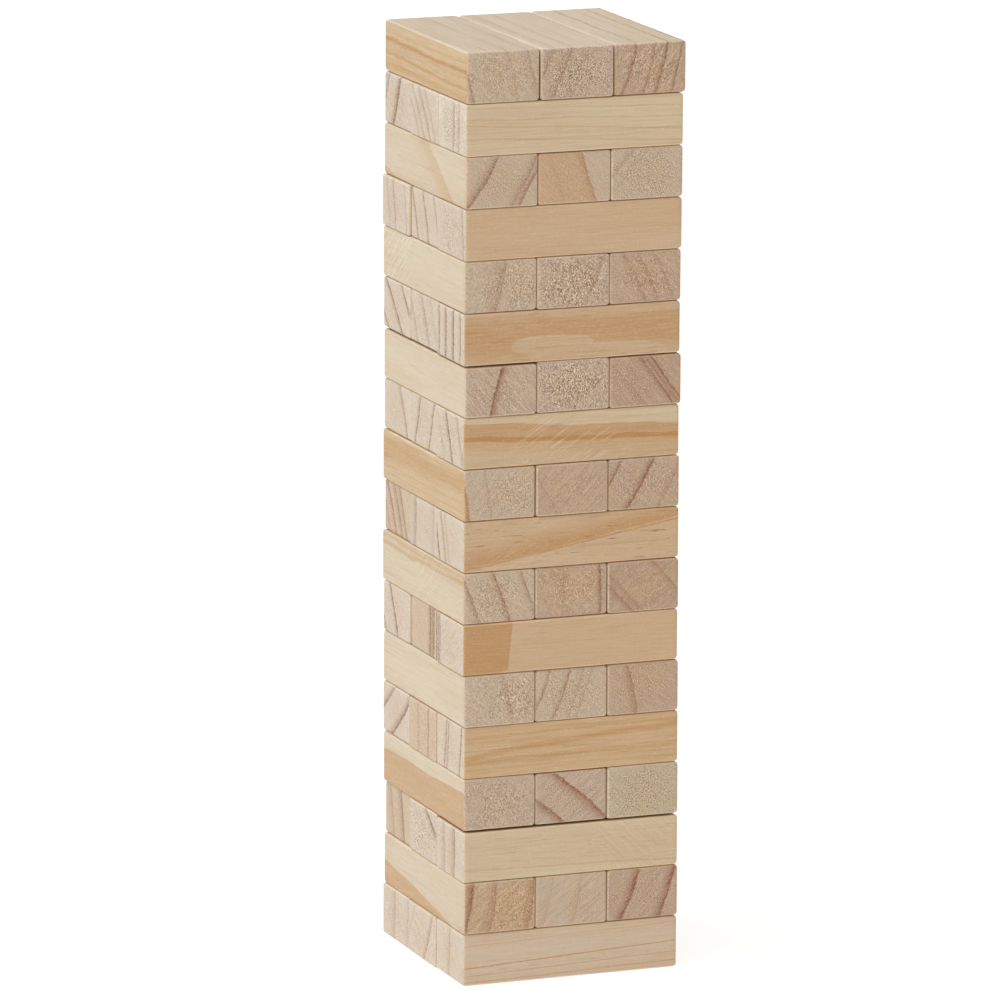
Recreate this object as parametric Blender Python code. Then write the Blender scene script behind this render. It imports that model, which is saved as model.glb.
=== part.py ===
"""Giant tumbling tower: eighteen levels of three pine blocks, each level laid across the one below.

Units are metres and +Z is up. The origin is on the ground, under the middle of the tower.
On odd levels the blocks run along X: front is the -Y block and back the +Y one.
On even levels they run along Y: left is the -X block and right the +X one.
Each block is one solid with its origin at its own centre, which its slide or lift axis runs through.
"""

import bpy

MM = 0.001

# Driving dimensions
BLOCK_LENGTH = 150 * MM
BLOCKS_PER_LEVEL = 3
LEVEL_COUNT = 18
BLOCK_HEIGHT = 33.63 * MM
SIDE_GAP = 0.5 * MM  # between neighbours in one level
LEVEL_GAP = 0.3 * MM  # the faces that really rest on each other are kept this far apart
EASED_EDGE = 1.5 * MM  # radius that sanding leaves on every edge
EASED_EDGE_SEGMENTS = 2

BLOCK_WIDTH = (BLOCK_LENGTH - (BLOCKS_PER_LEVEL - 1) * SIDE_GAP) / BLOCKS_PER_LEVEL
LEVEL_PITCH = BLOCK_HEIGHT + LEVEL_GAP

# How each level was laid by hand, in millimetres, bottom level first. The first number is how far
# the level sits across its blocks; the other three are how far each block is pushed along itself.
LAID_BY_HAND = (
    (0.2, (0.3, -0.4, 0.0)),
    (0.7, (-0.3, 0.2, 0.4)),
    (-0.2, (0.2, 0.0, 1.6)),
    (0.2, (0.1, 0.5, -0.4)),
    (0.3, (0.1, -0.6, 0.0)),
    (-0.2, (-0.4, 0.2, -0.1)),
    (-0.3, (-0.9, 0.3, -0.2)),
    (-0.6, (0.3, 0.4, -0.3)),
    (0.1, (-0.6, -0.1, 0.9)),
    (-0.5, (0.2, -0.4, 0.5)),
    (0.4, (-1.0, 0.4, 0.5)),
    (-0.1, (-0.5, 0.1, -0.2)),
    (-0.3, (-1.0, 0.2, -0.4)),
    (-0.5, (0.3, -0.2, 0.4)),
    (0.2, (-0.1, 0.5, -1.3)),
    (0.0, (-0.2, 0.3, -0.1)),
    (-0.4, (-0.1, -0.5, 0.3)),
    (1.2, (0.2, -0.6, 0.4)),
)

# Levels whose three blocks were all planed thicker than those of the other levels, in millimetres
PLANED_THICKER = {1: 0.7, 2: 0.6, 3: 0.9, 4: 0.6, 5: 0.3, 6: 0.3}

# Blocks planed thinner than their neighbours, in millimetres. These are the loose ones, with daylight over them.
PLANED_THINNER = {
    "level_03_front": 1.2,
    "level_04_middle": 0.35,
    "level_12_left": 1.0,
    "level_12_right": 0.6,
    "level_16_middle": 0.35,
}

# On the top level nothing holds the outer blocks in, and they stand a little apart, in millimetres.
TOP_LEVEL_SPREAD = 0.6

# sRGB colours of the sawn pine, from outer wood to the wood near the heart
PINE_TONES = {
    "pale": "DCC9A8",
    "golden": "CFAE80",
    "tan": "BE9870",
}
PINE_ROUGHNESS = 0.62

# Every block not named here is pale outer wood.
GOLDEN_BLOCKS = {
    "level_01_middle",
    "level_02_left",
    "level_04_left",
    "level_05_front",
    "level_06_right",
    "level_07_middle",
    "level_07_front",
    "level_08_left",
    "level_08_middle",
    "level_09_back",
    "level_10_left",
    "level_11_front",
    "level_12_right",
    "level_13_middle",
    "level_16_middle",
    "level_18_left",
    "level_18_middle",
}
TAN_BLOCKS = {
    "level_02_right",
    "level_03_back",
    "level_04_middle",
    "level_05_middle",
    "level_08_right",
    "level_09_front",
    "level_10_middle",
    "level_10_right",
    "level_13_front",
    "level_14_middle",
    "level_14_right",
    "level_15_front",
    "level_17_back",
    "level_18_right",
}


def linear_colour(hex_code):
    """The linear RGBA of an sRGB hex colour."""
    channels = [int(hex_code[i : i + 2], 16) / 255 for i in (0, 2, 4)]
    return [c / 12.92 if c <= 0.04045 else ((c + 0.055) / 1.055) ** 2.4 for c in channels] + [1.0]


def tone_of(name):
    if name in GOLDEN_BLOCKS:
        return "golden"
    return "tan" if name in TAN_BLOCKS else "pale"


def pine(name):
    """Bare sanded pine for one block."""
    material = bpy.data.materials.new(f"{name}_pine")
    material.use_nodes = True
    shader = material.node_tree.nodes["Principled BSDF"]
    shader.inputs["Base Color"].default_value = linear_colour(PINE_TONES[tone_of(name)])
    shader.inputs["Roughness"].default_value = PINE_ROUGHNESS
    shader.inputs["Metallic"].default_value = 0.0
    return material


def block_mesh(name, size):
    """A closed cuboid of this size about its own centre, faces outwards."""
    x, y, z = (side / 2 for side in size)
    corners = [(i, j, k) for i in (-x, x) for j in (-y, y) for k in (-z, z)]
    faces = [(0, 1, 3, 2), (4, 6, 7, 5), (0, 4, 5, 1), (2, 3, 7, 6), (0, 2, 6, 4), (1, 5, 7, 3)]
    mesh = bpy.data.meshes.new(name)
    mesh.from_pydata(corners, [], faces)
    mesh.update()
    return mesh


def add_block(name, size, centre):
    """One block with eased edges, standing at this centre."""
    block = bpy.data.objects.new(f"{name}_block", block_mesh(name, size))
    bpy.context.scene.collection.objects.link(block)
    block.location = centre
    block.data.materials.append(pine(name))
    easing = block.modifiers.new("eased_edges", "BEVEL")
    easing.width = EASED_EDGE
    easing.segments = EASED_EDGE_SEGMENTS
    easing.limit_method = "NONE"
    return block


def floor_of(level):
    """Height of the underside of one level."""
    thicker_below = sum(extra for below, extra in PLANED_THICKER.items() if below < level)
    return (level - 1) * LEVEL_PITCH + thicker_below * MM


def lay_level(level):
    """The three blocks of one level, counted from 1 at the bottom."""
    along_x = level % 2 == 1
    places = ("front", "middle", "back") if along_x else ("left", "middle", "right")
    across_shift, pushes = LAID_BY_HAND[level - 1]
    level_height = BLOCK_HEIGHT + PLANED_THICKER.get(level, 0) * MM
    for i, place in enumerate(places):
        name = f"level_{level:02d}_{place}"
        height = level_height - PLANED_THINNER.get(name, 0) * MM
        across = (i - 1) * (BLOCK_WIDTH + SIDE_GAP) + across_shift * MM
        if level == LEVEL_COUNT:
            across += (i - 1) * TOP_LEVEL_SPREAD * MM
        along = pushes[i] * MM
        middle_height = floor_of(level) + height / 2
        if along_x:
            add_block(name, (BLOCK_LENGTH, BLOCK_WIDTH, height), (along, across, middle_height))
        else:
            add_block(name, (BLOCK_WIDTH, BLOCK_LENGTH, height), (across, along, middle_height))


def clear_scene():
    for leftover in list(bpy.data.objects):
        bpy.data.objects.remove(leftover)


clear_scene()
for level_number in range(1, LEVEL_COUNT + 1):
    lay_level(level_number)
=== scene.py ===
"""Giant tumbling tower: 54 sanded pine blocks in crosswise levels, on a plain pale floor.

Every block is a bevelled, hand-sanded solid in the place of its plain CAD block, and has its own
piece of pine: growth rings, heartwood, saw marks and fibre, described block by block in CUTS.
"""

import math
import random
from typing import NamedTuple

import bmesh
import bpy
from mathutils import Matrix, Vector


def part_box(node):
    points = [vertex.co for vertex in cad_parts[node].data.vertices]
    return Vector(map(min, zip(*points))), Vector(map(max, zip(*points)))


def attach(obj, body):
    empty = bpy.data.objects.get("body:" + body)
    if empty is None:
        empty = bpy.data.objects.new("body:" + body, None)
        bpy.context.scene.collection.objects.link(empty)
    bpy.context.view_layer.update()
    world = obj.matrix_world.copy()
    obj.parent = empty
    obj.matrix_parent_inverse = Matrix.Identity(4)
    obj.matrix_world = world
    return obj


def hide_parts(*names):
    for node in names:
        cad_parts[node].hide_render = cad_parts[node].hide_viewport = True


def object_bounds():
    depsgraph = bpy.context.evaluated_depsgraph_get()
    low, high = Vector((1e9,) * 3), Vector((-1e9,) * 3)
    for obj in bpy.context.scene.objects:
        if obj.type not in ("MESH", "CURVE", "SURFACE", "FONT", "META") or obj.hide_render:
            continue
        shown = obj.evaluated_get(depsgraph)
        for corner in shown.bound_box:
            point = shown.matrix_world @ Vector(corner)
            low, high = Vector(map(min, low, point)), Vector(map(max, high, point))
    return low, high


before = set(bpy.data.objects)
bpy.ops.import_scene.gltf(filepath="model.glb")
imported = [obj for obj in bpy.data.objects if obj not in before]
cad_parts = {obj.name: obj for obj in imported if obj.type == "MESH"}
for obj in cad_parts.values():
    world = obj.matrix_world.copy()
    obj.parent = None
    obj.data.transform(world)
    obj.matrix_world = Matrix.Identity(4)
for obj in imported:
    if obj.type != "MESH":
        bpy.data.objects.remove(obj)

bl_info = {
    "name": "Giant Tumbling Tower",
    "version": (1, 0, 0),
    "blender": (4, 5, 0),
    "location": "View3D > Sidebar > Tower",
    "description": "Models and finishes the pine blocks of a giant tumbling tower",
    "category": "Object",
}

CAD_LOW, CAD_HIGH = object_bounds()
MM = 0.001
LEVELS = 18


# ---------------------------------------------------------------- how each block was cut


class Cut(NamedTuple):
    """How one block was sawn from its log, seen at its left or front end. Lengths are in mm.

    Across a block's end, 0 is the middle and + is to the right. Heights are from the middle too.
    Along the outer long face beside that end, + is to the right as well.
    """

    side: str  # colour of the long faces
    end: str  # colour of the end grain
    lean: float = 0.0  # degrees that the growth rings lean to the right of upright
    rings: tuple = ()  # (place across the end, darkness) of each growth ring
    late: float = 2.2  # thickness of the dark summer wood inside a ring
    pith: float = 260.0  # distance to the log's pith, minus when it lies to the right
    fuzz: float = 0.4  # how torn and speckled the end grain is
    heart: tuple = ()  # (place across, strength): orange heartwood to the left of a growth ring
    torn: tuple = (0.0, 0.0)  # middle of the torn patch, across and up the end
    warm: float = 0.15  # how orange the torn patch is
    edge_highlight_width: float = 0.0  # width of a painted pink-orange highlight along the left edge of the end, where the side light falls
    saw: tuple = (-40.0, 0.15)  # slope in degrees and strength of the saw's marks on the end
    dots: float = 0.0  # open resin canals showing as dots on the end
    fibre: float = 0.4  # strength of the fine lines along the long faces
    dashes: float = 0.15  # short dark resin dashes along the long faces
    zones: tuple = ()  # (along, height, slope, fade, darkness): tan wood to the left of a line
    bands: tuple = ()  # (height, half thickness, climb, darkness) of tan bands along the block
    pale: tuple = ()  # (along, height, half length, half thickness) of pale lens-shaped patches
    sanding: tuple = (35.0, 0.0, 0.0, 30.0)  # slope, strength, middle, half length of scratches
    top: str = ""  # colour of the upper face, where it differs from the other long faces


CUTS = {
    "level_18_left": Cut(
        "honey", "sand", lean=-15, rings=((-23, 0.5), (8, 0.2), (21.5, 0.35)), fuzz=0.6, edge_highlight_width=3.5,
        fibre=0.9,
        bands=(
            (4.5, 1.9, -0.013, 0.85), (-5.5, 1.7, -0.027, 0.6), (-12, 3.4, -0.01, 0.4),
            (10, 1, 0, 0.25),
        ),
        top="ivory",
    ),
    "level_18_middle": Cut(
        "straw", "rose", lean=22, rings=((-22, 0.4), (-9, 0.45), (3, 0.2)), late=2.6, fuzz=1.2,
        top="ivory",
    ),
    "level_18_right": Cut(
        "caramel", "clay", lean=16, rings=((-13.5, 1.0), (0, 0.5), (8.5, 1.0), (19, 0.75)), late=1.2,
        fuzz=0.7, saw=(55, 0.25), top="ivory",
    ),
    "level_17_back": Cut(
        "straw", "shell", lean=22, rings=((-21, 0.45), (0.8, 0.85)), late=3.5, fuzz=0.7,
    ),
    "level_17_middle": Cut(
        "cream", "shell", lean=-35, rings=((-17, 0.3), (-7.5, 0.4), (4, 0.45), (14, 0.3)), late=2,
    ),
    "level_17_front": Cut(
        "straw", "chalk", lean=3, rings=((5, 0.4), (14, 0.35)), late=2.5, fuzz=0.9, fibre=0.6,
        bands=(
            (5, 0.7, -0.03, 0.3), (-1, 0.8, -0.06, 0.3), (-9, 1.0, -0.05, 0.25), (12, 0.6, -0.03, 0.25),
        ),
    ),
    "level_16_left": Cut(
        "cream", "sand", lean=31, rings=((-11, 0.7), (17, 0.5), (21.5, 0.6)), late=3, fuzz=0.65, edge_highlight_width=5,
        zones=((31, 0, 147, 22, 0.36), (-61, -14, 168, 0, 0.4)),
    ),
    "level_16_middle": Cut(
        "honey", "sand", lean=-18, rings=((10.5, 0.4), (-11, 0.12)), late=3, fuzz=0.35,
        heart=(10.5, 0.42), warm=0.1,
    ),
    "level_16_right": Cut("straw", "sand", lean=40, rings=((-22, 0.35), (-12, 0.15)), fuzz=0.9),
    "level_15_back": Cut(
        "cream", "shell", lean=-10, rings=((-11, 0.3), (0, 0.45), (21, 0.3)), late=1.8,
    ),
    "level_15_middle": Cut(
        "cream", "shell", lean=-19, rings=((-15.5, 0.6), (4, 0.6), (23.5, 0.4)), late=2,
    ),
    "level_15_front": Cut("peach", "shell", lean=-5, rings=((22, 0.3),), late=3, fuzz=0.7, fibre=0.5),
    "level_14_left": Cut(
        "cream", "sand", lean=12, rings=((1.5, 0.4),), late=5, fuzz=0.8, torn=(12, 0), edge_highlight_width=1.5,
        sanding=(38, 0.9, -45, 34),
    ),
    "level_14_middle": Cut("straw", "rose", lean=25, rings=((16, 0.35),), late=3, fuzz=1.2, warm=0.25),
    "level_14_right": Cut(
        "peach", "clay", lean=-25, rings=((-6, 0.35), (3, 0.3), (14, 0.25)), late=2.5, fuzz=0.7,
        warm=0.25,
    ),
    "level_13_back": Cut(
        "cream", "shell", lean=-42, rings=((-27, 0.6), (-1, 0.75), (26, 0.7)), late=2.2,
    ),
    "level_13_middle": Cut(
        "straw", "shell", lean=-25, rings=((-17, 0.35), (4.5, 0.4), (20, 0.2)), late=3,
    ),
    "level_13_front": Cut(
        "peach", "shell", lean=-1, rings=((-18, 0.6), (-6, 0.8), (7.5, 0.85), (20, 0.5)), late=2.5,
        fibre=1.0, dashes=0.5, bands=((0, 18, 0.0, 0.5), (8.5, 0.5, -0.01, 0.72)),
        pale=((-14, -5.5, 29, 7.2), (20, -13.2, 46, 6), (-10, 14.5, 9, 2.6)),
        sanding=(55, 0.15, 12, 13),
    ),
    "level_12_left": Cut(
        "cream", "rose", lean=14, rings=((-4.5, 1.0),), late=3, pith=-220, fuzz=0.65, edge_highlight_width=1.5,
        saw=(-50, 0.35),
    ),
    "level_12_middle": Cut("straw", "rose", fuzz=1.2, warm=0.2),
    "level_12_right": Cut(
        "honey", "umber", lean=-38, rings=((-12, 0.15), (9, 0.8), (12.5, 0.6), (16, 0.9)), late=1.6,
        fuzz=0.65, torn=(-8, 3), saw=(-50, 0.2),
    ),
    "level_11_back": Cut("cream", "shell", lean=-25, rings=((15, 0.5),), late=3),
    "level_11_middle": Cut("cream", "shell", lean=18, rings=((-9.5, 0.65), (16, 0.6)), late=2.2),
    "level_11_front": Cut(
        "straw", "shell", lean=-22, rings=((-14, 0.15), (2, 0.8), (21, 0.45)), fuzz=0.6, fibre=0.7,
        zones=((0, 9.5, 175.9, 34, 0.62),), bands=((0, 3.2, -0.047, 0.95),), sanding=(32, 0.5, -5, 45),
    ),
    "level_10_left": Cut(
        "honey", "sand", lean=-8, rings=((-23, 0.7), (-6.5, 0.3)), late=1.5, fuzz=0.65,
        heart=(-22, 0.6), torn=(10, 0), edge_highlight_width=2, saw=(40, 0.2), fibre=1.0,
        bands=((6, 10, 0.03, 0.4), (2, 0.8, 0.02, 0.35), (-6, 0.7, 0.01, 0.3), (-11, 0.8, 0, 0.3)),
    ),
    "level_10_middle": Cut("peach", "clay", lean=-30, rings=((-18, 0.2),), fuzz=0.4, saw=(45, 0.22)),
    "level_10_right": Cut(
        "peach", "clay", lean=30, rings=((-24, 0.75), (-1.3, 1.0), (20, 0.3)), late=2, fuzz=0.7,
        saw=(-45, 0.18),
    ),
    "level_09_back": Cut(
        "honey", "wheat", lean=-27, rings=((-19, 0.3), (-8, 0.55), (4, 0.55), (13, 0.5)), late=3.5,
    ),
    "level_09_middle": Cut("straw", "shell", rings=((-12, 0.4), (22, 0.2)), late=6),
    "level_09_front": Cut(
        "peach", "shell", lean=-17, rings=((-21, 0.75), (-10, 0.5), (-3, 0.25)), late=2.2, fibre=0.7,
        dashes=1.0, zones=((0, -2, 9.4, 18, 0.62),), bands=((-2.8, 0.9, 0.163, 0.7),),
        sanding=(30, 0.2, -40, 30),
    ),
    "level_08_left": Cut(
        "straw", "sand", lean=-20, rings=((-18, 0.55), (2.7, 0.65), (21, 0.5)), late=2, fuzz=0.65,
        edge_highlight_width=2, fibre=0.7, bands=((10, 2.5, 0.01, 0.45), (16, 4, 0, 0.3)), sanding=(40, 0.35, 5, 45),
    ),
    "level_08_middle": Cut(
        "peach", "clay", rings=((-5, 0.2), (20.5, 0.8)), late=1.8, fuzz=0.6, torn=(0, 2), warm=0.3,
    ),
    "level_08_right": Cut(
        "caramel", "umber", lean=-42, rings=((-21, 0.6), (-14, 0.35), (22, 0.4)), fuzz=0.35,
        saw=(30, 0.18),
    ),
    "level_07_back": Cut("cream", "shell", lean=-25, rings=((-25, 0.6), (-2, 0.8)), late=2.2),
    "level_07_middle": Cut(
        "straw", "wheat", rings=((-21, 0.4), (14, 0.75), (17, 0.6), (20.5, 0.75)), late=3,
    ),
    "level_07_front": Cut(
        "peach", "shell", rings=((-21.5, 0.85), (-18, 0.6), (-15.5, 0.6)), late=3, saw=(35, 0.22),
        fibre=0.6, zones=((-42, 0, 84, 0, 0.68),), pale=((-41.4, -22, 14, 9),),
    ),
    "level_06_left": Cut(
        "cream", "sand", lean=-14, rings=((7.5, 0.35),), late=2, fuzz=0.8, torn=(14, 0), edge_highlight_width=1.5,
        dots=0.5,
    ),
    "level_06_middle": Cut(
        "straw", "sand", lean=20, rings=((-20, 0.6), (-6, 0.7), (4, 0.35), (10, 0.3)), late=1.3,
        fuzz=0.7,
    ),
    "level_06_right": Cut(
        "honey", "clay", lean=-10, rings=((-7, 0.55),), late=2.5, fuzz=0.65, torn=(-2, 5), warm=0.28,
        dots=0.3,
    ),
    "level_05_back": Cut("cream", "shell", lean=51, rings=((-20.5, 0.6), (14.5, 0.75)), late=3),
    "level_05_middle": Cut("caramel", "wheat", rings=((-5, 0.3), (13.5, 0.5)), late=2),
    "level_05_front": Cut(
        "honey", "shell", lean=8, rings=((-6, 0.6), (-2, 0.5), (21, 0.65)), late=1.8, fibre=1.0,
        bands=((3, 3.2, 0.085, 0.5), (-5, 2, 0.02, 0.35), (11, 1.5, 0.02, 0.4), (-11, 1, 0, 0.2)),
    ),
    "level_04_left": Cut("cream", "rose", fuzz=0.7, edge_highlight_width=2, fibre=0.6, zones=((0, 7.5, 181, 0, 0.62),)),
    "level_04_middle": Cut(
        "peach", "rose", lean=-50, rings=((-23, 0.85), (10, 0.9)), late=3.5, fuzz=0.65, saw=(35, 0.3),
    ),
    "level_04_right": Cut("straw", "moss", fuzz=1.0, dots=1.0),
    "level_03_back": Cut("caramel", "wheat", lean=-12, rings=((-9, 0.3), (10.5, 0.55)), late=5),
    "level_03_middle": Cut("straw", "shell", lean=-55, rings=((32, 0.7),), late=3, fuzz=0.9),
    "level_03_front": Cut(
        "straw", "shell", rings=((-9, 0.3), (9.5, 0.5)), late=5, dashes=0.4,
        bands=((0, 18, 0, 0.1), (-10, 1, -0.02, 0.35), (10, 0.6, 0, 0.25)), sanding=(-45, 0.3, 45, 34),
    ),
    "level_02_left": Cut(
        "cream", "amber", lean=8, rings=((-20, 0.9), (-3.5, 0.45), (23, 0.5)), late=3.5, fuzz=0.65,
        torn=(12, 0), warm=0.4, edge_highlight_width=1, saw=(35, 0.28), zones=((-5, -9, 172.7, 0, 0.6),),
    ),
    "level_02_middle": Cut(
        "straw", "sand", lean=12, rings=((-15, 0.2), (5, 0.2)), fuzz=0.4, torn=(12, 0), saw=(35, 0.25),
    ),
    "level_02_right": Cut(
        "peach", "clay", lean=21, rings=((-7.5, 1.0), (18, 0.95)), late=3.2, fuzz=0.65, saw=(40, 0.2),
    ),
    "level_01_back": Cut("cream", "shell", lean=2, rings=((0, 0.3), (24, 0.2)), late=4),
    "level_01_middle": Cut("honey", "shell", lean=27, rings=((-20, 0.2), (14, 0.45)), late=2.5),
    "level_01_front": Cut(
        "blush", "shell", lean=3, rings=((1, 0.3),), late=3, dashes=0.3,
        bands=(
            (-2.3, 0.6, 0.046, 0.75), (-8.5, 0.5, 0.03, 0.5), (-13.5, 0.6, 0.02, 0.5),
            (11.5, 0.5, 0.03, 0.35),
        ),
    ),
}


# ---------------------------------------------------------------- sizes and colours a user may change


def linear(hex_code):
    """The linear RGBA of an sRGB hex colour."""
    channels = [int(hex_code[i : i + 2], 16) / 255 for i in (0, 2, 4)]
    return [c / 12.92 if c <= 0.04045 else ((c + 0.055) / 1.055) ** 2.4 for c in channels] + [1.0]


def wood_colour(name, description, hex_code):
    return bpy.props.FloatVectorProperty(
        name=name, description=description, subtype="COLOR", size=4, min=0, max=1,
        default=linear(hex_code),
    )


class BlockSettings(bpy.types.PropertyGroup):
    """Shape of the finished blocks."""

    least_easing: bpy.props.FloatProperty(
        name="Least easing", description="Smallest radius sanded on an edge", default=0.9 * MM,
        unit="LENGTH",
    )
    most_easing: bpy.props.FloatProperty(
        name="Most easing", description="Largest radius sanded on an edge", default=2.7 * MM,
        unit="LENGTH",
    )
    easing_segments: bpy.props.IntProperty(
        name="Easing segments", description="Facets round each eased edge", default=4, min=2,
    )
    waviness: bpy.props.FloatProperty(
        name="Waviness", description="Height of the planer's unevenness", default=0.08 * MM,
        unit="LENGTH",
    )
    snugness: bpy.props.FloatProperty(
        name="Snugness", description="How far a face stands out past that of its CAD block",
        default=0.08 * MM, unit="LENGTH",
    )
    wave_length: bpy.props.FloatProperty(
        name="Wave length", description="Distance between the planer's humps", default=22 * MM,
        unit="LENGTH",
    )


class PineSettings(bpy.types.PropertyGroup):
    """Colours of bare sanded pine."""

    cream: wood_colour("Cream", "Long faces of the palest sapwood", "D5C4AA")
    straw: wood_colour("Straw", "Long faces of ordinary sapwood", "D3C1A4")
    blush: wood_colour("Blush", "Long faces of pinkish sapwood", "D1BDA7")
    peach: wood_colour("Peach", "Long faces of warm, even wood", "CDB292")
    honey: wood_colour("Honey", "Long faces of golden wood", "CDB089")
    caramel: wood_colour("Caramel", "Long faces of wood near the heart", "C8AB87")
    shell: wood_colour("Shell", "End grain of the palest blocks", "D5C6B5")
    chalk: wood_colour("Chalk", "End grain, almost white", "DFD2C2")
    wheat: wood_colour("Wheat", "End grain with a tan cast", "CDB79E")
    sand: wood_colour("Sand", "End grain, greyish beige", "C6B5A2")
    ivory: wood_colour("Ivory", "Upper faces of the top blocks", "DBCBB6")
    rose: wood_colour("Rose", "End grain, pinkish", "C1AE9F")
    clay: wood_colour("Clay", "End grain, warm brown-pink", "BCA490")
    umber: wood_colour("Umber", "End grain, the darkest blocks", "B59B86")
    amber: wood_colour("Amber", "End grain, orange", "C2A88B")
    moss: wood_colour("Moss", "End grain, greenish grey", "C3B69B")
    heartwood: wood_colour("Heartwood", "Tan zones and bands on the long faces", "BA8649")
    fibre: wood_colour("Fibre", "Fine lines along the grain", "A87F50")
    ember: wood_colour("Ember", "Orange cast of torn patches and heartwood at an end", "CB9A62")
    # Painted highlight: the pink-orange an end is given along its left edge, standing in for the side
    # light that catches it
    flush: wood_colour("Flush", "Pink margin of an end", "E0A988")
    summer_wood: wood_colour("Summer wood", "Dark line of a growth ring in pale wood", "7E5A40")
    rust: wood_colour("Rust", "Dark line of a growth ring in pinker wood", "8A5032")
    torn_grain: wood_colour("Torn grain", "Pits between torn end fibres", "85654E")
    fluff: wood_colour("Fluff", "Raised pale end fibres", "F0E2CE")
    # Partly real and partly painted highlight: edges are paler from sanding and handling, and paler
    # still to stand in for the light the eased edges catch
    rubbed_and_highlit_edge: wood_colour("Burnished edge", "Edges rubbed pale by sanding and handling", "F3DEC2")


class StageSettings(bpy.types.PropertyGroup):
    """Camera, lights and floor."""

    azimuth: bpy.props.FloatProperty(
        name="Azimuth", description="Turn of the camera from +Y towards +X",
        default=math.radians(21.08), subtype="ANGLE",
    )
    elevation: bpy.props.FloatProperty(
        name="Elevation", description="Height of the camera above the horizon",
        default=math.radians(11.9), subtype="ANGLE",
    )
    roll: bpy.props.FloatProperty(
        name="Roll", description="Tilt of the camera about its own axis",
        default=math.radians(-0.25), subtype="ANGLE",
    )
    distance: bpy.props.FloatProperty(
        name="Distance", description="From the camera to the tower's middle",
        default=5.573, unit="LENGTH",
    )
    aside: bpy.props.FloatProperty(
        name="Aside", description="How far right of the view's middle the tower stands",
        default=20.1 * MM, unit="LENGTH",
    )
    above: bpy.props.FloatProperty(
        name="Above", description="How far above the view's middle the tower stands",
        default=3.6 * MM, unit="LENGTH",
    )
    focal_length: bpy.props.FloatProperty(
        name="Focal length", description="Lens of the camera, in mm", default=307.0,
    )
    floor_colour: wood_colour("Floor", "Plain pale light table", "898986")
    floor_glow: bpy.props.FloatProperty(
        name="Floor glow", description="Light that the table itself gives", default=0.85,
    )
    room_colour: wood_colour("Room", "Dim light from all round", "9E8E76")
    window_colour: wood_colour("Window", "Cool soft light from high on the left", "E0F0FF")
    window_strength: bpy.props.FloatProperty(
        name="Window strength", description="Brightness of the cool light", default=2.86,
    )
    fill_colour: wood_colour("Fill", "Warm soft light from the front", "FFD8AC")
    fill_strength: bpy.props.FloatProperty(
        name="Fill strength", description="Brightness of the warm light", default=0.40,
    )


# ---------------------------------------------------------------- shader nodes

# Lengths here are in mm, and strengths and shares go from 0 to 1.
SURFACE = "Pine surface"
RAMP_REACH = 36.0  # either side of a block's middle that its ring pattern covers
SHARP = 0.4  # over which summer wood ends at the next spring's growth
# How a ring darkens: (thicknesses of summer wood before its sharp edge, share of its darkness)
SUMMER_WOOD = ((2.2, 0.0), (1.0, 0.36), (0.45, 0.7), (0.12, 1.0))
# How far the log's wobble, the ring's own raggedness and the saw's tearing each shift a ring
WOBBLE, RAGGEDNESS, TEARING = 3.0, 1.2, 3.0
FIGURE_WANDER, FIGURE_RAGGEDNESS = 9.0, 1.6  # the same for the edge of tan wood on a long face
FADED = 0.12  # strength that a fading tan zone keeps
TORN_PATCH = (21.0, 15.0)  # reach of an end's torn patch, across and up
PATCH_RAGGEDNESS = 2.6  # of the patch's outline, in shares of its reach
END_EDGE = 24.4  # from the middle of an end to its left edge
PALE_ENDS = ("shell", "chalk", "wheat")  # colours of end grain whose rings are greyish brown
CAP = 1.6  # depth below its upper face to which a top block has the upper face's colour


def add(tree, kind, inputs=None, out=0, **settings):
    """Adds a shader node, gives each input its value or its link, and returns one of its outputs."""
    made = tree.nodes.new("ShaderNode" + kind)
    for key, value in settings.items():
        setattr(made, key, value)
    for key, value in (inputs or {}).items():
        if isinstance(value, bpy.types.NodeSocket):
            tree.links.new(value, made.inputs[key])
        else:
            made.inputs[key].default_value = value
    return None if out is None else made.outputs[out]


def math_on(tree, operation, a, b=0.0, c=0.0, clamp=False):
    return add(tree, "Math", {0: a, 1: b, 2: c}, operation=operation, use_clamp=clamp)


def step(tree, value, start, end, low=0.0, high=1.0):
    """Goes smoothly from low to high as the value goes from start to end."""
    limits = {"Value": value, "From Min": start, "From Max": end, "To Min": low, "To Max": high}
    return add(tree, "MapRange", limits, interpolation_type="SMOOTHSTEP")


def mix(tree, share, first, second):
    """Mixes two colours by a share from 0 to 1."""
    return add(tree, "Mix", {0: share, 6: first, 7: second}, out=2, data_type="RGBA")


def oval(tree, x, y, middle, reach):
    """How far a point is from an oval's middle, squared: 1 on the oval's outline."""
    u = math_on(tree, "MULTIPLY_ADD", x, 1 / reach[0], -middle[0] / reach[0])
    w = math_on(tree, "MULTIPLY_ADD", y, 1 / reach[1], -middle[1] / reach[1])
    return math_on(tree, "ADD", math_on(tree, "MULTIPLY", u, u), math_on(tree, "MULTIPLY", w, w))


def grain_noise(tree, point, along, across, detail=2.0, roughness=0.5, turn=0.0):
    """Noise whose marks are this long and this wide, in mm. turn slopes them on the end grain."""
    if turn:
        sloped = {"Vector": point, "Angle": math.radians(turn)}
        point = add(tree, "VectorRotate", sloped, rotation_type="X_AXIS")
    wide, high = across if isinstance(across, tuple) else (across, across)
    sizes = (1 / along, 1 / wide, 1 / high)
    scaled = add(tree, "VectorMath", {0: point, 1: sizes}, operation="MULTIPLY")
    inputs = {"Vector": scaled, "Scale": 1.0, "Detail": detail, "Roughness": roughness}
    return add(tree, "TexNoise", inputs)


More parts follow.
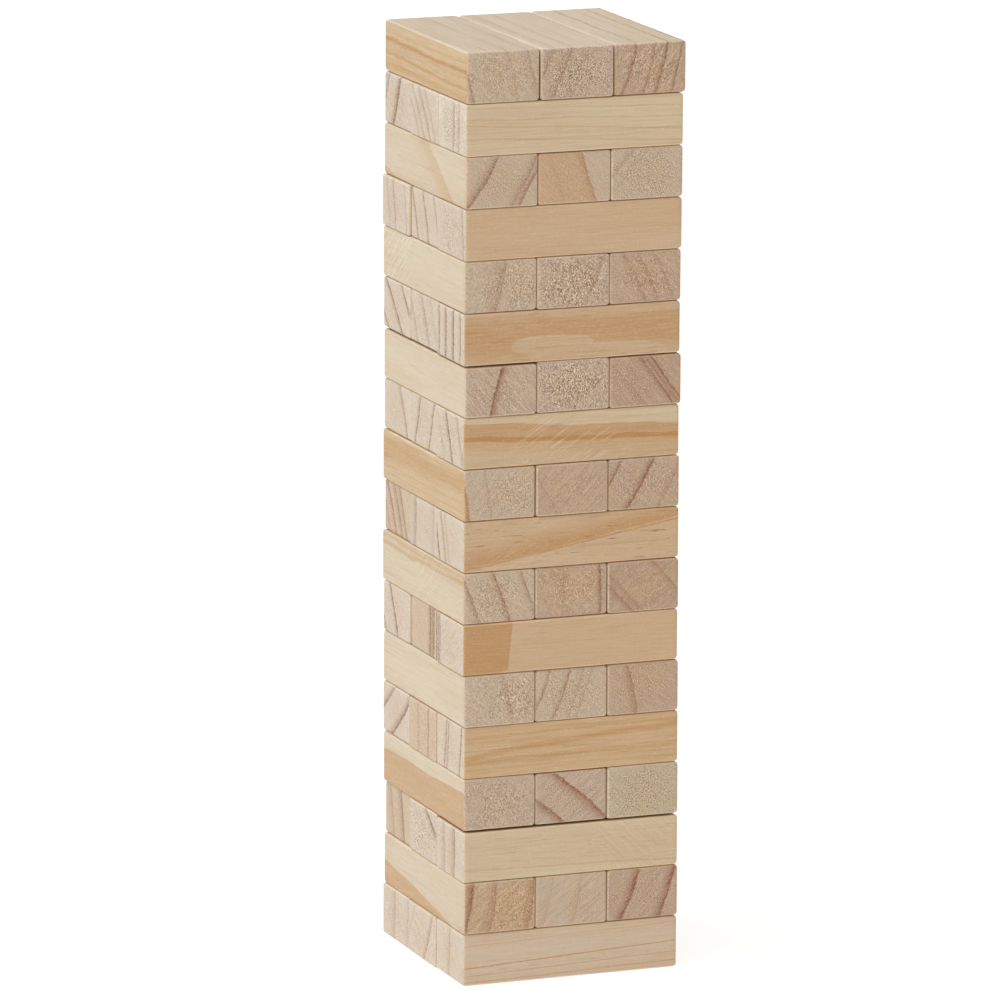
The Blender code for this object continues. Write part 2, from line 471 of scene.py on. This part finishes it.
def lay_out_surface():
    """Makes the part of a pine surface that all blocks share, a node group fed with a point in mm.

    The point's Z runs along the growth rings as seen on the end. A block's own patch of the surface
    comes from its seed, so no two blocks have the same fibres.
    """
    group = bpy.data.node_groups.new(SURFACE, "ShaderNodeTree")
    sockets = group.interface
    for name in ("Point", "Seed"):
        sockets.new_socket(name, in_out="INPUT", socket_type="NodeSocketVector")
    made = group.nodes.new("NodeGroupInput")
    own_patch = {0: made.outputs["Point"], 1: made.outputs["Seed"]}
    point = add(group, "VectorMath", own_patch, operation="ADD")
    outputs = {
        "Wander": grain_noise(group, point, 70.0, 24.0),
        "Ragged": grain_noise(group, point, 14.0, 1.6, detail=3.0),
        # Torn fibres stand in rows along the rings. Real ones are 0.1 mm apart and are drawn six
        # to nine times coarser, as the clumps that sanding leaves of them.
        "Torn": grain_noise(group, point, 1.3, (0.62, 0.9)),
        "Areas": grain_noise(group, point, 26.0, 9.0),
        # Fibres seen lengthwise are drawn coarser in the same way.
        "Fibre": grain_noise(group, point, 18.0, 0.7, detail=3.0, roughness=0.6),
        "Streak": grain_noise(group, point, 70.0, 1.7, detail=3.0, roughness=0.55),
        "Tone": grain_noise(group, point, 120.0, 16.0),
        "Dashes": step(group, grain_noise(group, point, 15.0, 0.8), 0.63, 0.71),
        "Dots": step(group, grain_noise(group, point, 4.0, 1.5), 0.68, 0.74),
        "Grit": grain_noise(group, point, 1.6, 0.7),
    }
    exit_node = group.nodes.new("NodeGroupOutput")
    for name, socket in outputs.items():
        sockets.new_socket(name, in_out="OUTPUT", socket_type="NodeSocketFloat")
        group.links.new(socket, exit_node.inputs[name])


def ring_stops(cut):
    """(place, darkness) stops of a block's growth rings, from left to right, places from 0 to 1."""
    away = 1 if cut.pith > 0 else -1  # the side of a ring on which it ends sharply
    stops = []
    for place, darkness in cut.rings:
        edge = place * math.cos(math.radians(cut.lean))
        profile = [(edge - away * before * cut.late, share * darkness) for before, share in SUMMER_WOOD]
        stops.append(sorted(profile + [(edge + away * SHARP, 0.0)]))
    stops.sort(key=lambda ring: ring[2])
    merged = []
    for ring in stops:
        if merged and ring[0][0] <= merged[-1][0]:
            ring = [stop for stop in ring if stop[0] > merged[-1][0]]
        merged += ring
    return [(min(max(place / RAMP_REACH / 2 + 0.5, 0.0), 1.0), dark) for place, dark in merged]


def place_across(tree, leaning, cut, mark, sawn):
    """Where a point lies across the growth rings, in mm to the right of the block's middle."""
    split = add(tree, "SeparateXYZ", {0: leaning}).node.outputs
    toward = 1 if cut.pith > 0 else -1
    reach = math_on(tree, "MULTIPLY_ADD", split["Y"], toward, abs(cut.pith))
    squares = [math_on(tree, "POWER", side, 2.0) for side in (reach, split["Z"])]
    radius = math_on(tree, "SQRT", math_on(tree, "ADD", *squares))
    past_pith = math_on(tree, "SUBTRACT", radius, abs(cut.pith))
    middle_shift = (WOBBLE + RAGGEDNESS + TEARING) / 2
    place = math_on(tree, "MULTIPLY_ADD", past_pith, toward, -middle_shift)
    for noise, shift in ((mark["Wander"], WOBBLE), (mark["Ragged"], RAGGEDNESS), (sawn, TEARING)):
        place = math_on(tree, "MULTIPLY_ADD", noise, shift, place)
    return place


def growth_rings(tree, place, cut, mark, sawn):
    """How dark the growth rings are at this point, from 0 to 1."""
    if not cut.rings:
        return None
    along_ramp = math_on(tree, "MULTIPLY_ADD", place, 1 / (2 * RAMP_REACH), 0.5)
    ramp = add(tree, "ValToRGB", {0: along_ramp}).node
    ramp.color_ramp.elements.remove(ramp.color_ramp.elements[1])
    ramp.color_ramp.elements[0].position = 0.0
    ramp.color_ramp.elements[0].color = (0, 0, 0, 1)
    for position, dark in ring_stops(cut):
        ramp.color_ramp.elements.new(position).color = (dark, dark, dark, 1)
    # Summer wood is darkest in the pits, and the saw chips it out along its own marks.
    in_pits = step(tree, mark["Torn"], 0.35, 0.62, 1.2, 0.85)
    unchipped = step(tree, sawn, 0.40, 0.60, 0.6, 1.2)
    left_whole = math_on(tree, "MULTIPLY", in_pits, unchipped)
    return math_on(tree, "MULTIPLY", ramp.outputs["Color"], left_whole, clamp=True)


def stray(tree, mark, slow, quick):
    """How far a grain line strays from its course, by its slow wander and its quick raggedness."""
    ragged = math_on(tree, "MULTIPLY_ADD", mark["Ragged"], quick, -quick / 2)
    wander = math_on(tree, "SUBTRACT", mark["Wander"], 0.5)
    return math_on(tree, "MULTIPLY_ADD", wander, slow, ragged)


def tan_zone(tree, along, level, zone):
    """How tan a long face is to the left of one sloping line."""
    start, start_height, slope, fade, darkness = zone
    turn = math.radians(slope)
    offset = math.sin(turn) * start - math.cos(turn) * start_height
    sideways = math_on(tree, "MULTIPLY_ADD", along, -math.sin(turn), offset)
    inward = math_on(tree, "MULTIPLY_ADD", level, math.cos(turn), sideways)
    share = step(tree, inward, -0.3, 0.7, high=darkness)
    if fade:
        share = math_on(tree, "MULTIPLY", share, step(tree, inward, 0.1 * fade, fade, 1.0, FADED))
    return share


def tan_band(tree, along, height, band, mark):
    """How tan a long face is in one band along the block. A thin band strays less than a wide one."""
    place, half, climb, darkness = band
    centre = math_on(tree, "MULTIPLY_ADD", along, climb, place)
    course = stray(tree, mark, min(FIGURE_WANDER, 3 * half), min(1.5 * FIGURE_RAGGEDNESS, 1.4 * half))
    off_centre = math_on(tree, "SUBTRACT", math_on(tree, "ADD", height, course), centre)
    return step(tree, math_on(tree, "ABSOLUTE", off_centre), half, 0.25 * half, high=darkness)


def tan_figure(tree, along, height, cut, mark):
    """How tan a long face is at this point, from its zones and bands, less its pale patches."""
    level = math_on(tree, "ADD", height, stray(tree, mark, FIGURE_WANDER, FIGURE_RAGGEDNESS))
    shares = [tan_zone(tree, along, level, zone) for zone in cut.zones]
    shares += [tan_band(tree, along, height, band, mark) for band in cut.bands]
    tan = shares[0] if shares else None
    for share in shares[1:]:
        tan = math_on(tree, "MAXIMUM", tan, share)
    for middle, place, half_length, half in cut.pale:
        far = oval(tree, along, level, (middle, place), (half_length, half))
        tan = math_on(tree, "SUBTRACT", 0.0 if tan is None else tan, step(tree, far, 1.05, 0.7))
    return tan


def end_grain(tree, colours, cut, across, height, place, mark, rings, sawn):
    """Colour of the sawn end: rings, a torn and warmer patch, saw marks, pits and raised fibres."""
    far = math_on(tree, "SQRT", oval(tree, across, height, cut.torn, TORN_PATCH))
    far = math_on(tree, "SUBTRACT", far, PATCH_RAGGEDNESS / 2)
    torn = step(tree, math_on(tree, "MULTIPLY_ADD", mark["Areas"], PATCH_RAGGEDNESS, far), 1.25, 0.4)
    golden = step(tree, mark["Areas"], 0.45, 0.62, 0.0, 0.3)
    end = mix(tree, golden, getattr(colours, cut.end), colours.honey)
    end = mix(tree, math_on(tree, "MULTIPLY", torn, cut.warm), end, colours.ember)
    if cut.heart:
        edge = cut.heart[0] * math.cos(math.radians(cut.lean))
        left_of_ring = step(tree, place, edge + 2 * SHARP, edge - SHARP, 0.0, cut.heart[1])
        end = mix(tree, left_of_ring, end, colours.ember)
    # Painted highlight: a pink-orange strip along the end's left edge stands in for the side light
    # catching that edge
    if cut.edge_highlight_width:
        margin = math_on(tree, "MULTIPLY_ADD", mark["Ragged"], 2.0, across)
        in_edge_highlight = step(tree, margin, 1 + cut.edge_highlight_width - END_EDGE, -END_EDGE, 0.0, 0.5)
        end = mix(tree, in_edge_highlight, end, colours.flush)
    rough = math_on(tree, "MULTIPLY", step(tree, torn, 0.0, 1.0, 0.55, 1.1), cut.fuzz)
    low = step(tree, mark["Torn"], 0.48, 0.34, 0.0, 0.9)
    raised = step(tree, mark["Torn"], 0.52, 0.66, 0.0, 0.9)
    pits = math_on(tree, "MULTIPLY", low, rough, clamp=True)
    fluff = math_on(tree, "MULTIPLY", raised, rough, clamp=True)
    end = mix(tree, pits, end, colours.torn_grain)
    end = mix(tree, fluff, end, colours.fluff)
    if rings:
        pale_wood = cut.end in PALE_ENDS
        depth = math_on(tree, "MULTIPLY", rings, 1.3 if pale_wood else 1.1, clamp=True)
        end = mix(tree, depth, end, colours.summer_wood if pale_wood else colours.rust)
    saw_strength = 0.8 * cut.saw[1]
    end = mix(tree, step(tree, sawn, 0.53, 0.68, 0.0, saw_strength), end, colours.fluff)
    end = mix(tree, step(tree, sawn, 0.47, 0.32, 0.0, saw_strength), end, colours.torn_grain)
    if cut.dots:
        canals = math_on(tree, "MULTIPLY", mark["Dots"], 0.75 * cut.dots)
        end = mix(tree, canals, end, colours.torn_grain)
    relief = math_on(tree, "MULTIPLY", math_on(tree, "SUBTRACT", fluff, pits), 0.9)
    return end, math_on(tree, "MULTIPLY_ADD", sawn, cut.saw[1], relief)


def sanding_scratches(tree, colours, cut, point, along, mark, along_x, side):
    """Crosses part of a long face with pale and dark scratches of the sanding belt."""
    slope, strength, middle, half_length = cut.sanding
    turn = {"Vector": point, "Angle": math.radians(-slope if along_x else slope)}
    lines = grain_noise(tree, add(tree, "VectorRotate", turn, rotation_type="Y_AXIS"), 30.0, 0.85)
    apart = math_on(tree, "ABSOLUTE", math_on(tree, "SUBTRACT", along, middle))
    within = step(tree, apart, half_length, 0.5 * half_length)
    area = math_on(tree, "MULTIPLY", within, step(tree, mark["Areas"], 0.32, 0.5, 0.0, strength))
    pale = math_on(tree, "MULTIPLY", step(tree, lines, 0.54, 0.66, 0.0, 0.6), area)
    side = mix(tree, pale, side, colours.fluff)
    dark = math_on(tree, "MULTIPLY", step(tree, lines, 0.46, 0.34, 0.0, 0.3), area)
    return mix(tree, dark, side, colours.fibre)


def long_face(tree, colours, cut, point, along, height, half_height, mark, rings, along_x):
    """Colour of the planed long faces: tan figure, rings seen lengthwise, fibres, dashes, sanding."""
    base = getattr(colours, cut.side)
    if cut.top:
        on_top = step(tree, height, half_height - CAP, half_height - CAP / 4)
        base = mix(tree, on_top, base, getattr(colours, cut.top))
    side = mix(tree, step(tree, mark["Tone"], 0.35, 0.7, 0.0, 0.13), base, colours.heartwood)
    if rings:
        lengthwise = math_on(tree, "MULTIPLY", rings, 0.75 if cut.top else 0.4)
        side = mix(tree, lengthwise, side, colours.fibre)
    tan = tan_figure(tree, along, height, cut, mark)
    if tan:
        side = mix(tree, math_on(tree, "MAXIMUM", tan, 0.0), side, colours.heartwood)
    streaks = step(tree, mark["Streak"], 0.50, 0.76, 0.0, 0.42 * cut.fibre)
    side = mix(tree, streaks, side, colours.fibre)
    dark_fibres = step(tree, mark["Fibre"], 0.48, 0.72, 0.0, 0.08 + 0.16 * cut.fibre)
    side = mix(tree, dark_fibres, side, colours.fibre)
    side = mix(tree, step(tree, mark["Fibre"], 0.50, 0.28, 0.0, 0.12), side, colours.fluff)
    dashes = math_on(tree, "MULTIPLY", mark["Dashes"], 0.7 * cut.dashes)
    side = mix(tree, dashes, side, colours.summer_wood)
    side = mix(tree, step(tree, mark["Grit"], 0.54, 0.74, 0.0, 0.22), side, colours.fluff)
    if cut.sanding[1]:
        side = sanding_scratches(tree, colours, cut, point, along, mark, along_x, side)
    return side


def pine(name, cut, low, high, along_x):
    """Radiata pine, sawn square, planed on its long faces and sanded on its edges.

    The eye gets pale long faces with fine fibre lines, tan heartwood zones and faint sanding marks,
    rougher and pinker end grain crossed by dark summer wood, and edges rubbed smooth and pale, with a
    painted highlight making them paler still.
    """
    colours = bpy.context.scene.tower_pine
    material = bpy.data.materials.new(f"Sanded radiata pine, {name}")
    material.use_nodes = True
    tree = material.node_tree
    shader = tree.nodes["Principled BSDF"]

    # A point in mm from the block's middle: X out of the end on show, Y to its right, Z up.
    half = (high - low) / 2 / MM
    half_along, half_across = (half.x, half.y) if along_x else (half.y, half.x)
    placing = {
        "Vector": add(tree, "TexCoord", out="Object"),
        "Location": (low + high) / 2,
        "Rotation": (0, 0, math.radians(180 if along_x else -90)),
        "Scale": (MM, MM, MM),
    }
    point = add(tree, "Mapping", placing, vector_type="TEXTURE")
    across = add(tree, "SeparateXYZ", {0: point}).node.outputs
    lean = {"Vector": point, "Rotation": (math.radians(-cut.lean), 0, 0)}
    leaning = add(tree, "Mapping", lean, vector_type="TEXTURE")
    dice = random.Random(name)
    surface = tree.nodes.new("ShaderNodeGroup")
    surface.node_tree = bpy.data.node_groups[SURFACE]
    surface.inputs["Seed"].default_value = [dice.uniform(-900, 900) for _ in range(3)]
    tree.links.new(leaning, surface.inputs["Point"])
    mark = surface.outputs

    # Where the block's ends and its eased edges are, from how deep a point lies inside each face
    insets = [
        math_on(tree, "SUBTRACT", reach, math_on(tree, "ABSOLUTE", across[axis]))
        for axis, reach in (("X", half_along), ("Y", half_across), ("Z", half.z))
    ]
    on_end = step(tree, insets[0], 0.9, 0.5)
    near = [step(tree, inset, 1.4, 0.2) for inset in insets]
    corners = [math_on(tree, "MULTIPLY", near[i], near[i - 1]) for i in range(3)]
    edge = math_on(tree, "MAXIMUM", math_on(tree, "MAXIMUM", corners[0], corners[1]), corners[2])

    sawn = grain_noise(tree, point, 6.0, (12.0, 0.9), turn=-cut.saw[0])
    place = place_across(tree, leaning, cut, mark, sawn)
    rings = growth_rings(tree, place, cut, mark, sawn)
    along = math_on(tree, "MULTIPLY", across["X"], -1.0 if along_x else 1.0)
    side = long_face(tree, colours, cut, point, along, across["Z"], half.z, mark, rings, along_x)
    end, relief_end = end_grain(tree, colours, cut, across["Y"], across["Z"], place, mark, rings, sawn)
    wood = mix(tree, on_end, side, end)
    # Edges are paler partly from real rubbing and partly from a painted highlight that stands in for
    # the light the eased edges catch; the same mask also makes them smoother
    rubbed_and_highlit = math_on(tree, "MULTIPLY", edge, step(tree, mark["Ragged"], 0.3, 0.7, 0.25, 0.7))
    wood = mix(tree, rubbed_and_highlit, wood, colours.rubbed_and_highlit_edge)
    tree.links.new(wood, shader.inputs["Base Color"])

    # Planed faces are satin, torn end grain is matt, and rubbed edges are the smoothest.
    shine = math_on(tree, "MULTIPLY_ADD", rubbed_and_highlit, -0.14, step(tree, on_end, 0.0, 1.0, 0.50, 0.80))
    shine = math_on(tree, "MULTIPLY_ADD", mark["Fibre"], 0.12, shine)
    tree.links.new(shine, shader.inputs["Roughness"])
    shader.inputs["Metallic"].default_value = 0.0
    shader.inputs["IOR"].default_value = 1.48

    relief_side = math_on(tree, "MULTIPLY", mark["Fibre"], 0.5)
    relief = add(tree, "Mix", {0: on_end, 2: relief_side, 3: relief_end}, data_type="FLOAT")
    bump = add(tree, "Bump", {"Height": relief, "Strength": 0.6, "Distance": 0.22 * MM}, out="Normal")
    tree.links.new(bump, shader.inputs["Normal"])
    return material


# ---------------------------------------------------------------- blocks

OUTSIDE = 70 * MM  # past this distance from the tower's middle, a place is on its outside
# Shares of the way from the least to the most easing, at corners and far sides and at other edges
WELL_SANDED, LESS_SANDED = (0.75, 1.0), (0.25, 0.75)
INSET = 0.5 * MM  # width of the flat strip inside each rounded edge


def sand_edges(block, shape, dice):
    """Rounds all twelve edges, each by its own amount between the least and the most easing."""
    weights = block.data.attributes.new("bevel_weight_edge", "FLOAT", "EDGE")
    least = shape.least_easing / shape.most_easing
    for edge, weight in zip(block.data.edges, weights.data):
        ends = [block.data.vertices[i].co for i in edge.vertices]
        middle = (ends[0] + ends[1]) / 2
        far_side = max(middle.x, middle.y) > OUTSIDE
        corner = abs(middle.x) > OUTSIDE and abs(middle.y) > OUTSIDE
        share = dice.uniform(*(WELL_SANDED if far_side or corner else LESS_SANDED))
        weight.value = least + (1 - least) * share
    easing = block.modifiers.new("Sanded edges", "BEVEL")
    easing.width = shape.most_easing
    easing.segments = shape.easing_segments
    easing.limit_method = "WEIGHT"
    bpy.ops.object.modifier_apply(modifier=easing.name)


def divide_flats(block, smallest_flat, cuts):
    """Insets the six flat faces a little, so that the rounding shades cleanly, and divides them."""
    bpy.ops.object.mode_set(mode="EDIT")
    bpy.ops.mesh.select_mode(type="FACE")
    bpy.ops.mesh.select_all(action="DESELECT")
    mesh = bmesh.from_edit_mesh(block.data)
    for face in mesh.faces:
        face.select_set(face.calc_area() > smallest_flat)
    bmesh.update_edit_mesh(block.data)
    bpy.ops.mesh.inset(thickness=INSET, use_individual=True)
    bpy.ops.mesh.subdivide(number_cuts=cuts)
    bpy.ops.object.mode_set(mode="OBJECT")


def model_block(name, low, high, shape):
    """A cuboid with unevenly eased edges and faintly wavy faces, in the place of its CAD block."""
    dice = random.Random(name)
    snug = Vector([shape.snugness] * 3)
    low = Vector(max(pair) for pair in zip(low - snug, CAD_LOW))
    high = Vector(min(pair) for pair in zip(high + snug, CAD_HIGH))
    bpy.ops.object.select_all(action="DESELECT")
    bpy.ops.mesh.primitive_cube_add(size=1, location=(low + high) / 2, scale=high - low)
    block = bpy.context.active_object
    block.name = block.data.name = name
    bpy.ops.object.transform_apply(location=True, rotation=True, scale=True)
    sand_edges(block, shape, dice)
    side_lengths = sorted(high - low)
    divide_flats(block, 0.5 * side_lengths[0] * side_lengths[1], cuts=7)
    waves = bpy.data.textures.new(f"{name} planing", "CLOUDS")
    waves.noise_scale = shape.wave_length
    planing = block.modifiers.new("Planing", "DISPLACE")
    planing.texture = waves
    planing.strength = shape.waviness
    planing.mid_level = 0.75
    bpy.ops.object.modifier_apply(modifier=planing.name)
    bpy.ops.object.shade_smooth_by_angle(angle=math.radians(35))
    return block


class TOWER_OT_lay_level(bpy.types.Operator):
    """Models and finishes the three blocks of one level"""

    bl_idname = "tower.lay_level"
    bl_label = "Lay Level"

    level: bpy.props.IntProperty(
        name="Level", description="Counted from the ground", default=1, min=1, max=LEVELS,
    )

    def execute(self, context):
        along_x = self.level % 2 == 1
        for place in ("front", "middle", "back") if along_x else ("left", "middle", "right"):
            body = f"level_{self.level:02d}_{place}"
            node = f"{body}_block"
            low, high = (Vector(corner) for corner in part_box(node))
            block = model_block(f"{body}_sanded", low, high, context.scene.tower_blocks)
            wood = pine(body.replace("_", " "), CUTS[body], low, high, along_x)
            block.data.materials.append(wood)
            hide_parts(node)
            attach(block, body)
        return {"FINISHED"}


# ---------------------------------------------------------------- stage

FLOOR_SIZE = 60  # metres
# Where each light comes from, and how broad it is
WINDOW_FROM, WINDOW_SPREAD = (-0.5, -0.02, 0.86), math.radians(70)
FILL_FROM, FILL_SPREAD = (0.1, -0.9, 0.4), math.radians(120)


class TOWER_OT_set_stage(bpy.types.Operator):
    """Lays the floor and places the lights and the camera"""

    bl_idname = "tower.set_stage"
    bl_label = "Set Stage"

    def execute(self, context):
        settings = context.scene.tower_stage
        lay_floor(settings)
        light_softly(context.scene, settings)
        place_camera(context.scene, settings)
        context.scene.view_settings.view_transform = "Standard"
        return {"FINISHED"}


def lay_floor(settings):
    """Opal acrylic lit from below, as a light table is made.

    It gives the eye an even, almost white ground that a shadow only just shows on.
    """
    bpy.ops.object.select_all(action="DESELECT")
    bpy.ops.mesh.primitive_plane_add(size=FLOOR_SIZE, location=(0, 0, 0))
    floor = bpy.context.active_object
    floor.name = "studio_floor"
    paint = bpy.data.materials.new("Opal acrylic light table")
    paint.use_nodes = True
    shader = paint.node_tree.nodes["Principled BSDF"]
    shader.inputs["Base Color"].default_value = settings.floor_colour
    shader.inputs["Roughness"].default_value = 0.9
    shader.inputs["Specular IOR Level"].default_value = 0.2
    shader.inputs["Emission Color"].default_value = (1, 1, 1, 1)
    shader.inputs["Emission Strength"].default_value = settings.floor_glow
    floor.data.materials.append(paint)


def add_sun(name, toward, strength, spread, colour):
    """A light so far off that it falls evenly on the whole tower. toward points at it."""
    light = bpy.data.lights.new(name, "SUN")
    light.energy = strength
    light.angle = spread
    light.color = colour[:3]
    lamp = bpy.data.objects.new(name, light)
    bpy.context.scene.collection.objects.link(lamp)
    lamp.rotation_euler = Vector(toward).to_track_quat("Z", "Y").to_euler()


def light_softly(scene, settings):
    """A dim warm room, a broad cool window high on the left and a faint warm fill from the front."""
    world = bpy.data.worlds.new("Studio")
    world.use_nodes = True
    scene.world = world
    tree = world.node_tree
    tree.nodes.clear()
    room = add(tree, "Background", {"Color": settings.room_colour, "Strength": 1.0})
    backdrop = add(tree, "Background", {"Color": (1, 1, 1, 1), "Strength": 1.0})
    seen = add(tree, "LightPath", out="Is Camera Ray")
    both = add(tree, "MixShader", {0: seen, 1: room, 2: backdrop})
    add(tree, "OutputWorld", {"Surface": both}, out=None)
    add_sun("Window", WINDOW_FROM, settings.window_strength, WINDOW_SPREAD, settings.window_colour)
    add_sun("Fill", FILL_FROM, settings.fill_strength, FILL_SPREAD, settings.fill_colour)


def place_camera(scene, settings):
    """Aims a long lens at the tower's middle, shifted and rolled by a little."""
    turn, tip, roll = settings.azimuth, settings.elevation, settings.roll
    forward = Vector((math.sin(turn) * math.cos(tip), math.cos(turn) * math.cos(tip), -math.sin(tip)))
    right = Vector((math.cos(turn), -math.sin(turn), 0))
    up = right.cross(forward)
    rolled_right = right * math.cos(roll) - up * math.sin(roll)
    rolled_up = right * math.sin(roll) + up * math.cos(roll)
    middle = Vector((0, 0, CAD_HIGH.z / 2))
    place = middle - forward * settings.distance
    place -= rolled_right * settings.aside + rolled_up * settings.above
    lens = bpy.data.cameras.new("Camera")
    lens.lens = settings.focal_length
    camera = bpy.data.objects.new("Camera", lens)
    scene.collection.objects.link(camera)
    facing = Matrix((rolled_right, rolled_up, -forward)).transposed().to_4x4()
    camera.matrix_world = Matrix.Translation(place) @ facing
    lens.clip_end = 100
    scene.camera = camera


# ---------------------------------------------------------------- add-on


class TOWER_PT_panel(bpy.types.Panel):
    """Lists the tower's levels and its stage"""

    bl_label = "Tumbling Tower"
    bl_idname = "TOWER_PT_panel"
    bl_space_type = "VIEW_3D"
    bl_region_type = "UI"
    bl_category = "Tower"

    def draw(self, context):
        for level in range(LEVELS, 0, -1):
            self.layout.operator("tower.lay_level", text=f"Lay level {level}").level = level
        self.layout.operator("tower.set_stage")


CLASSES = (
    BlockSettings, PineSettings, StageSettings, TOWER_OT_lay_level, TOWER_OT_set_stage, TOWER_PT_panel,
)


def register():
    for cls in CLASSES:
        bpy.utils.register_class(cls)
    bpy.types.Scene.tower_blocks = bpy.props.PointerProperty(type=BlockSettings)
    bpy.types.Scene.tower_pine = bpy.props.PointerProperty(type=PineSettings)
    bpy.types.Scene.tower_stage = bpy.props.PointerProperty(type=StageSettings)


def unregister():
    for name in ("tower_blocks", "tower_pine", "tower_stage"):
        delattr(bpy.types.Scene, name)
    for cls in reversed(CLASSES):
        bpy.utils.unregister_class(cls)


def main():
    register()
    lay_out_surface()
    bpy.ops.tower.set_stage()
    for level in range(1, LEVELS + 1):
        bpy.ops.tower.lay_level(level=level)


if __name__ == "__main__":
    main()
